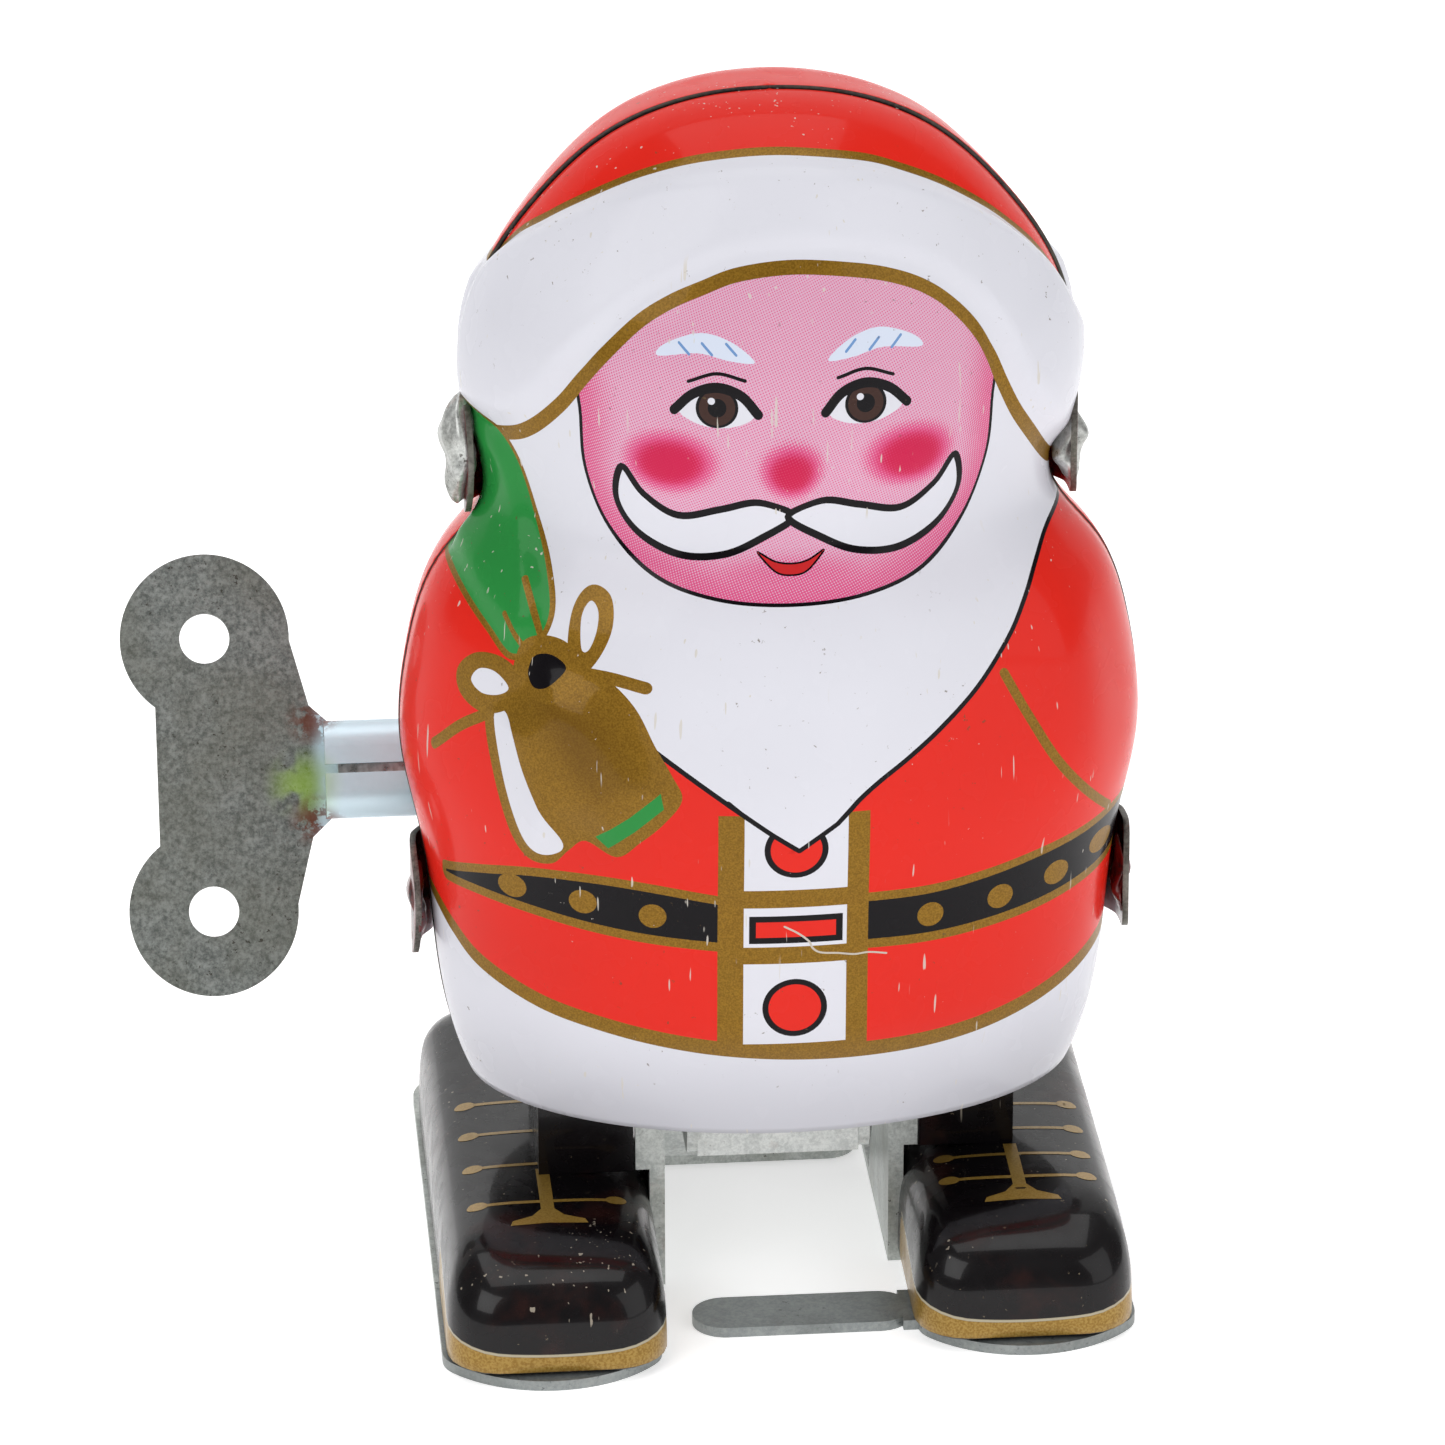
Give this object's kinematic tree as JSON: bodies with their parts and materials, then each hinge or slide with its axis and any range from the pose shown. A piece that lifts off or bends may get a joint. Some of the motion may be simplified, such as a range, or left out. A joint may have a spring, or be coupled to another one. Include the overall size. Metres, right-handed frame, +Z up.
{
  "type": "clockwork walking figure",
  "caption": "Clockwork tin walking figure in a red coat and fur-trimmed hat, with a side winding key, a geared motor and two crank-driven flat feet.",
  "frame": {"origin": "on the floor between the soles, on the figure's mid-plane and in the seam plane between the body's two halves", "axes": "+Z up, the figure faces -Y, its right side with the winding key is -X"},
  "size_m": [0.0758, 0.0551, 0.0928],
  "materials": {
    "litho_front": "gloss lacquer over print",
    "litho_back": "gloss lacquer over print",
    "black_tin": "gloss lacquer over print",
    "zinc": "galvanised sheet",
    "steel": "satin",
    "spring_steel": "blued",
    "brass": "stamped"
  },
  "bodies": {
    "root": {"front_shell": "litho_front", "back_shell": "litho_back", "motor_plate_right": "zinc", "motor_plate_left": "zinc", "motor_pillars": "steel", "lower_strap": "zinc", "motor_bracket": "zinc", "guide_studs": "steel", "spring_post": "steel", "mainspring": "spring_steel"},
    "great_wheel": {"great_wheel": "brass", "click_spring": "spring_steel", "click_rivet": "steel"},
    "arbor": {"winding_arbor": "steel", "ratchet_wheel": "steel", "key": "zinc"},
    "crank": {"crank_axle": "steel", "crank_pinion": "steel", "crank_wheel": "brass", "crank_disc_right": "zinc", "crank_disc_left": "zinc", "crank_washers": "steel"},
    "escape": {"escape_arbor": "steel", "escape_pinion": "steel", "star_wheel": "brass"},
    "verge": {"verge": "zinc", "verge_arbor": "steel"},
    "leg_right": {"leg_right": "zinc", "shoe_right": "black_tin", "cuff_right": "black_tin"},
    "leg_left": {"leg_left": "zinc", "shoe_left": "black_tin", "cuff_left": "black_tin"}
  },
  "joints": [
    {"name": "drive", "type": "hinge", "parent": "root", "child": "great_wheel", "pos_m": [0.0021, 0.0085, 0.0365], "axis": [1, 0, 0], "continuous": true},
    {"name": "winding", "type": "hinge", "parent": "great_wheel", "child": "arbor", "pos_m": [0, 0.0085, 0.0365], "axis": [1, 0, 0], "continuous": true},
    {"name": "crank_spin", "type": "hinge", "parent": "root", "child": "crank", "pos_m": [0, -0.00207, 0.02763], "axis": [1, 0, 0], "continuous": true},
    {"name": "escape_spin", "type": "hinge", "parent": "root", "child": "escape", "pos_m": [0, -0.00856, 0.03168], "axis": [1, 0, 0], "continuous": true},
    {"name": "verge_rock", "type": "hinge", "parent": "root", "child": "verge", "pos_m": [0, -0.00856, 0.03888], "axis": [1, 0, 0], "range_deg": [-4, 4]},
    {"name": "leg_right_pivot", "type": "hinge", "parent": "crank", "child": "leg_right", "pos_m": [-0.009, -0.00327, 0.02763], "axis": [1, 0, 0], "continuous": true},
    {"name": "leg_left_pivot", "type": "hinge", "parent": "crank", "child": "leg_left", "pos_m": [0.009, -0.00087, 0.02763], "axis": [1, 0, 0], "continuous": true}
  ],
  "couplings": [
    {"joint": "crank_spin", "follows": "drive", "ratio": -4},
    {"joint": "escape_spin", "follows": "drive", "ratio": 15},
    {"joint": "leg_right_pivot", "follows": "drive", "ratio": 4},
    {"joint": "leg_left_pivot", "follows": "drive", "ratio": 4}
  ]
}
